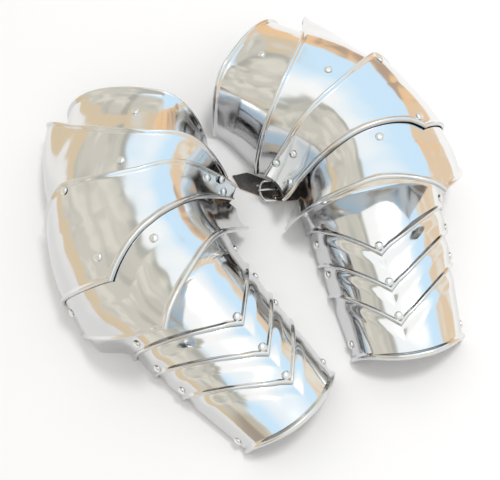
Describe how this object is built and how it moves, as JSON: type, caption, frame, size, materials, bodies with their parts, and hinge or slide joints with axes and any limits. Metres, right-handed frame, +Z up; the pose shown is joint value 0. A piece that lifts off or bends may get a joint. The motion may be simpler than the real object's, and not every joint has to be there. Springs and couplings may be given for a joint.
{
  "type": "plate arm harness",
  "caption": "Mirrored pair of polished steel plate arm guards with sliding elbow lames, pointed forearm lames, rivets and leather straps.",
  "frame": {"origin": "on the table under the middle of the pair", "axes": "+Z up off the table, +Y away from the viewer towards the upper arms, +X to the right"},
  "size_m": [0.4168, 0.4642, 0.1093],
  "materials": {
    "plate_steel": "mirror-polished steel plate",
    "rivet_steel": "polished domed steel rivets",
    "buckle_steel": "satin steel wire",
    "leather": "black leather with a tan cut edge"
  },
  "bodies": {
    "left_cannon_body": {"left_upper_cannon": "plate_steel"},
    "left_upper_lame_body": {"left_upper_lame": "plate_steel", "left_rivet_upper_top": "rivet_steel", "left_rivet_upper_side": "rivet_steel"},
    "left_couter_body": {"left_couter": "plate_steel", "left_rivet_couter_upper": "rivet_steel", "left_rivet_couter_lower": "rivet_steel", "left_elbow_chape": "leather", "left_elbow_strap": "leather"},
    "left_lower_lame_body": {"left_lower_lame": "plate_steel", "left_rivet_lower_top": "rivet_steel", "left_rivet_lower_side": "rivet_steel"},
    "left_forearm_body": {"left_forearm_lame_1": "plate_steel", "left_forearm_lame_2": "plate_steel", "left_forearm_lame_3": "plate_steel", "left_wrist_cannon": "plate_steel", "left_rivet_tip_1": "rivet_steel", "left_rivet_tip_2": "rivet_steel", "left_rivet_tip_3": "rivet_steel", "left_wrist_chape": "leather", "left_wrist_strap": "leather"},
    "left_elbow_buckle_body": {"left_elbow_buckle": "buckle_steel"},
    "left_elbow_prong_body": {"left_elbow_prong": "buckle_steel"},
    "left_wrist_buckle_body": {"left_wrist_buckle": "buckle_steel"},
    "left_wrist_prong_body": {"left_wrist_prong": "buckle_steel"},
    "right_cannon_body": {"right_upper_cannon": "plate_steel"},
    "right_upper_lame_body": {"right_upper_lame": "plate_steel", "right_rivet_upper_top": "rivet_steel", "right_rivet_upper_side": "rivet_steel"},
    "right_couter_body": {"right_couter": "plate_steel", "right_rivet_couter_upper": "rivet_steel", "right_rivet_couter_lower": "rivet_steel", "right_elbow_chape": "leather", "right_elbow_strap": "leather"},
    "right_lower_lame_body": {"right_lower_lame": "plate_steel", "right_rivet_lower_top": "rivet_steel", "right_rivet_lower_side": "rivet_steel"},
    "right_forearm_body": {"right_forearm_lame_1": "plate_steel", "right_forearm_lame_2": "plate_steel", "right_forearm_lame_3": "plate_steel", "right_wrist_cannon": "plate_steel", "right_rivet_tip_1": "rivet_steel", "right_rivet_tip_2": "rivet_steel", "right_rivet_tip_3": "rivet_steel", "right_wrist_chape": "leather", "right_wrist_strap": "leather"},
    "right_elbow_buckle_body": {"right_elbow_buckle": "buckle_steel"},
    "right_elbow_prong_body": {"right_elbow_prong": "buckle_steel"},
    "right_wrist_buckle_body": {"right_wrist_buckle": "buckle_steel"},
    "right_wrist_prong_body": {"right_wrist_prong": "buckle_steel"}
  },
  "joints": [
    {"name": "left_upper_lame_slide", "type": "hinge", "parent": "left_couter_body", "child": "left_upper_lame_body", "pos_m": [0.01252, 0.00114, 0.05], "axis": [0, 0, -1], "range_deg": [-1, 3.5]},
    {"name": "left_cannon_slide", "type": "hinge", "parent": "left_upper_lame_body", "child": "left_cannon_body", "pos_m": [0.01252, 0.00114, 0.05], "axis": [0, 0, -1], "range_deg": [-2.5, 3.5]},
    {"name": "left_lower_lame_slide", "type": "hinge", "parent": "left_couter_body", "child": "left_lower_lame_body", "pos_m": [0.01252, 0.00114, 0.05], "axis": [0, 0, 1], "range_deg": [-1.5, 2.5]},
    {"name": "left_forearm_slide", "type": "hinge", "parent": "left_lower_lame_body", "child": "left_forearm_body", "pos_m": [0.01252, 0.00114, 0.05], "axis": [0, 0, 1], "range_deg": [-2.5, 1.5]},
    {"name": "left_elbow_buckle_hinge", "type": "hinge", "parent": "left_couter_body", "child": "left_elbow_buckle_body", "pos_m": [-0.04297, 0.01914, 0.0046], "axis": [0.2924, 0.9563, 0], "range_deg": [0, 30]},
    {"name": "left_elbow_prong_hinge", "type": "hinge", "parent": "left_elbow_buckle_body", "child": "left_elbow_prong_body", "pos_m": [-0.04297, 0.01914, 0.0046], "axis": [0.2924, 0.9563, 0], "range_deg": [0, 50]},
    {"name": "left_wrist_buckle_hinge", "type": "hinge", "parent": "left_forearm_body", "child": "left_wrist_buckle_body", "pos_m": [0.05514, -0.16135, 0.0046], "axis": [-0.662, 0.7495, 0], "range_deg": [0, 30]},
    {"name": "left_wrist_prong_hinge", "type": "hinge", "parent": "left_wrist_buckle_body", "child": "left_wrist_prong_body", "pos_m": [0.05514, -0.16135, 0.0046], "axis": [-0.662, 0.7495, 0], "range_deg": [0, 50]},
    {"name": "right_upper_lame_slide", "type": "hinge", "parent": "right_couter_body", "child": "right_upper_lame_body", "pos_m": [0.00453, 0.00014, 0.05], "axis": [0, 0, 1], "range_deg": [-3.1, 1.4]},
    {"name": "right_cannon_slide", "type": "hinge", "parent": "right_upper_lame_body", "child": "right_cannon_body", "pos_m": [0.00453, 0.00014, 0.05], "axis": [0, 0, 1], "range_deg": [-4.5, 1.5]},
    {"name": "right_lower_lame_slide", "type": "hinge", "parent": "right_couter_body", "child": "right_lower_lame_body", "pos_m": [0.00453, 0.00014, 0.05], "axis": [0, 0, -1], "range_deg": [-0.8, 3.2]},
    {"name": "right_forearm_slide", "type": "hinge", "parent": "right_lower_lame_body", "child": "right_forearm_body", "pos_m": [0.00453, 0.00014, 0.05], "axis": [0, 0, -1], "range_deg": [-1.7, 2.3]},
    {"name": "right_elbow_buckle_hinge", "type": "hinge", "parent": "right_couter_body", "child": "right_elbow_buckle_body", "pos_m": [0.02602, 0.03014, 0.0066], "axis": [-0.0872, 0.9962, 0], "range_deg": [0, 30]},
    {"name": "right_elbow_prong_hinge", "type": "hinge", "parent": "right_elbow_buckle_body", "child": "right_elbow_prong_body", "pos_m": [0.02602, 0.03014, 0.0066], "axis": [-0.0872, 0.9962, 0], "range_deg": [0, 50]},
    {"name": "right_wrist_buckle_hinge", "type": "hinge", "parent": "right_forearm_body", "child": "right_wrist_buckle_body", "pos_m": [0.10957, -0.13095, 0.0046], "axis": [0.207, -0.9783, 0], "range_deg": [0, 30]},
    {"name": "right_wrist_prong_hinge", "type": "hinge", "parent": "right_wrist_buckle_body", "child": "right_wrist_prong_body", "pos_m": [0.10957, -0.13095, 0.0046], "axis": [0.207, -0.9783, 0], "range_deg": [0, 50]},
    {"name": "right_arm_lift", "type": "slide", "parent": "left_couter_body", "child": "right_couter_body", "axis": [0, 0, 1], "range_m": [0, 0.06]}
  ]
}
